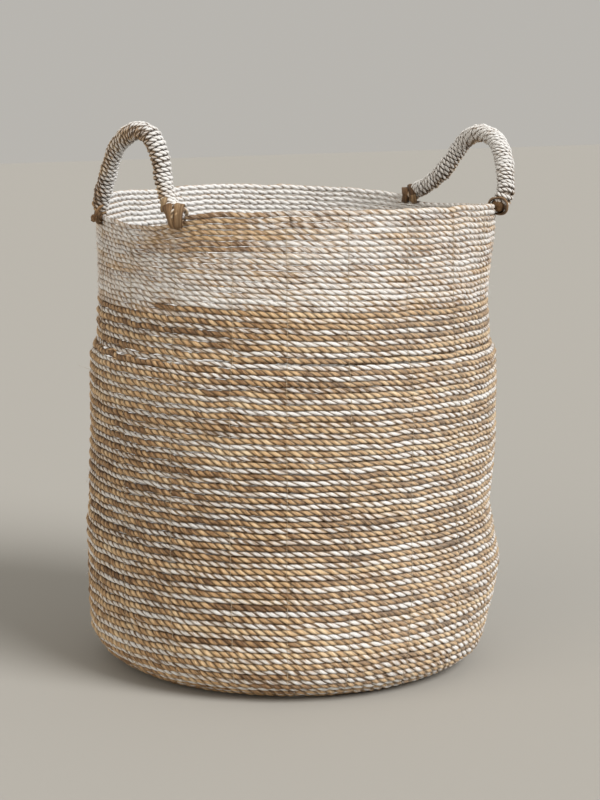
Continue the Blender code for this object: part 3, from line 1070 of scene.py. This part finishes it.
def foot_plug(band, seed):
    """Rounded bundle of grass that fills one band."""
    share = np.linspace(-1.0, 1.0, 13)
    half_out = 0.5 * (band.outer - band.inner) - 0.0006
    half_up = 0.5 * (band.high - band.low) - 0.0006
    reach = half_out * np.clip(1.0 - share ** 4, 0.03, 1.0) ** 0.5
    outward, along = directions(np.radians(band.angle) + FRONT)
    middle = 0.5 * (band.inner + band.outer) * outward + 0.5 * (band.low + band.high) * UP
    way = unit(along - band_yaw(band) * outward)
    centre = middle + (0.5 * band.lower_width - 0.0004) * share[:, None] * way
    plug = tube_surface(centre, reach, 14, seed, 60.0, 5.0)
    heights = plug["points"][:, :, 2]
    plug["points"][:, :, 2] = middle[2] + (heights - middle[2]) * half_up / half_out
    # Raised groove value: painted shade on the bundle, which sits recessed inside its band
    plug["groove"] = plug["groove"] + 0.25
    return plug


def build_lashings():
    """Grass bands over the feet of the handles."""
    for number, (node, bands) in enumerate(FOOT_BANDS):
        parts = []
        for index, band in enumerate(bands):
            seed = 700 + 40 * number + 9 * index
            parts.append(foot_band(band, seed))
            parts.append(foot_plug(band, seed + 4))
        piece = make_piece(node.replace("lashing", "bands"), parts, LASHING)
        finish_piece(piece, "lashing", node)


def build_knot():
    """A small overhand knot at the end of a strand on the outside of the wall."""
    outward, along = directions(np.radians(KNOT_ANGLE) + FRONT)
    centre = KNOT_DISTANCE * outward + KNOT_HEIGHT * UP
    t = np.linspace(0.0, TURN, 40)
    loops = (
        KNOT_SIZE * (np.sin(t) + 2.0 * np.sin(2.0 * t)) / 2.4,
        KNOT_SIZE * (np.cos(t) - 2.0 * np.cos(2.0 * t)) / 2.4,
        -KNOT_SIZE * np.sin(3.0 * t) / 2.0,
    )
    ways = np.array((along, UP, outward))
    knot = tube_surface(centre + np.array(loops).T @ ways, KNOT_CORD_RADIUS, 8, 801)
    strand_points = spline(centre + np.array(STRAND_LINE) @ ways, 30)
    strand = tube_surface(strand_points, STRAND_RADIUS, 8, 802)
    piece = make_piece("left_handle_tied_end", [knot, strand], LASHING)
    finish_piece(piece, "lashing", "left_handle_knot")


def hair(start, way, bend, length, seed):
    """One loose fibre: a thin curved three-sided tube."""
    t = np.linspace(0.0, 1.0, HAIR_POINTS)[:, None]
    centre = start + length * (t * way + t * t * bend)
    radius = HAIR_RADIUS * np.linspace(1.0, 0.35, HAIR_POINTS)
    surface = tube_surface(centre, radius, 3, seed, 60.0, 1.0)
    surface["tone"] = surface["tone"] + 0.4
    return surface


def build_hairs():
    """Loose fibres that stand off the wall here and there."""
    random = np.random.default_rng(1500)
    phi = random.uniform(-np.pi, np.pi, HAIR_COUNT)
    row = random.uniform(HAIR_TOP, HAIR_END, HAIR_COUNT)
    centre, normal, _ = wall_place(phi, row, 0.0004)
    alpha = phi + FRONT
    along = np.stack((-np.sin(alpha), np.cos(alpha), np.zeros(HAIR_COUNT)), axis=-1)
    natural, white = [], []
    for index in range(HAIR_COUNT):
        side = random.choice((-1.0, 1.0))
        way = side * along[index] + random.uniform(0.05, 0.5) * normal[index]
        way = unit(way + random.uniform(-0.6, 0.3) * UP)
        bend = random.normal(0.0, 0.38, 3) - 0.10 * normal[index]
        length = random.uniform(0.003, 0.010)
        parts = white if row[index] < 0.0 or random.uniform() < 0.4 else natural
        parts.append(hair(centre[index], way, bend, length, 1600 + index))
    piece = make_piece("loose_fibres_natural", natural, GRASS)
    finish_piece(piece, "seagrass_striped", "striped_wall")
    piece = make_piece("loose_fibres_white", white, PAINTED)
    finish_piece(piece, "seagrass_whitewashed", "white_band")


def stitch_line(index):
    """One thread that goes over each row and down between rows."""
    phi = np.radians(360.0 / STITCH_COUNT * index) - FRONT
    phi = (phi + np.pi) % TURN - np.pi
    phi = phi + np.radians(np.interp(np.degrees(phi), STITCH_FROM, STITCH_SHIFT))
    share = phi / TURN
    rows = np.arange(STITCH_TOP + share - np.floor(share), STITCH_END, 1.0 / 12.0)
    beat = np.cos(2.0 * TURN * (rows - share))
    inset = 0.0009 - 0.0007 * beat
    wander = 0.003 * line_noise(900 + index, rows, 2.0)
    centre, _, _ = wall_place(np.full_like(rows, phi) + wander, rows, inset)
    return tube_surface(centre, STITCH_RADIUS, 6, 900 + index, 60.0, 1.0)


def build_stitches():
    """Lines of thread that tie the rows together."""
    parts = [stitch_line(index) for index in range(STITCH_COUNT)]
    piece = make_piece("stitch_threads", parts, THREAD)
    nodes = ["stitch_%02d" % (index + 1) for index in range(STITCH_COUNT)]
    finish_piece(piece, "stitch_thread", *nodes)


def look_at(item, target):
    direction = np.array(target) - np.array(item.location)
    flat = np.hypot(direction[0], direction[1])
    item.rotation_euler = (
        np.arctan2(flat, -direction[2]),
        0.0,
        np.arctan2(direction[1], direction[0]) - 0.5 * np.pi,
    )


def add_sun(name, place, target, strength, angle_deg, colour):
    light = bpy.data.lights.new(name, "SUN")
    light.energy = strength
    light.angle = np.radians(angle_deg)
    light.color = colour
    item = bpy.data.objects.new(name, light)
    item.location = place
    look_at(item, target)
    bpy.context.scene.collection.objects.link(item)


def build_camera():
    """The camera, and the directions toward it and to its right."""
    right, out = directions(np.radians(CAMERA_HEADING))
    out = -out
    camera = bpy.data.cameras.new("camera")
    camera.sensor_width = 36.0
    camera.sensor_fit = "AUTO"
    camera.lens = CAMERA_LENS
    item = bpy.data.objects.new("camera", camera)
    item.location = out * CAMERA_OUT + right * CAMERA_RIGHT + UP * CAMERA_HEIGHT
    item.rotation_euler = (np.radians(90.0 - CAMERA_TILT), 0.0, np.radians(CAMERA_HEADING))
    bpy.context.scene.collection.objects.link(item)
    bpy.context.scene.camera = item
    return out, right


def build_floor():
    """A plain pale floor."""
    mesh = bpy.data.meshes.new("floor")
    mesh.from_pydata([(-9, -9, 0), (9, -9, 0), (9, 9, 0), (-9, 9, 0)], [], [(0, 1, 2, 3)])
    floor = bpy.data.objects.new("floor", mesh)
    floor.location = (0.0, 0.0, -0.0005)
    bpy.context.scene.collection.objects.link(floor)
    material = bpy.data.materials.new("floor")
    material.use_nodes = True
    shader = material.node_tree.nodes["Principled BSDF"]
    shader.inputs["Base Color"].default_value = FLOOR_COLOUR
    shader.inputs["Roughness"].default_value = 0.9
    mesh.materials.append(material)


def build_lights(out, right):
    """Soft studio light: a pale surround, a key from the right and a warm fill from the left."""
    world = bpy.data.worlds.new("studio")
    world.use_nodes = True
    background = world.node_tree.nodes["Background"]
    background.inputs["Color"].default_value = STUDIO_COLOUR
    background.inputs["Strength"].default_value = STUDIO_STRENGTH
    bpy.context.scene.world = world
    target = 0.25 * UP
    key = out * 1.00 + right * 1.22 + UP * 1.25
    fill = out * 2.0 - right * 2.0 + UP * 0.7
    add_sun("key", target + key, target, 3.2, 32.0, (1.0, 0.985, 0.96))
    add_sun("fill", target + fill, target, 0.98, 70.0, (1.0, 0.88, 0.72))


build_wall()
build_base()
for each_handle in HANDLES:
    build_handle(each_handle)
build_lashings()
build_knot()
build_hairs()
build_stitches()

out_way, right_way = build_camera()
build_floor()
build_lights(out_way, right_way)
bpy.context.scene.view_settings.view_transform = "Standard"
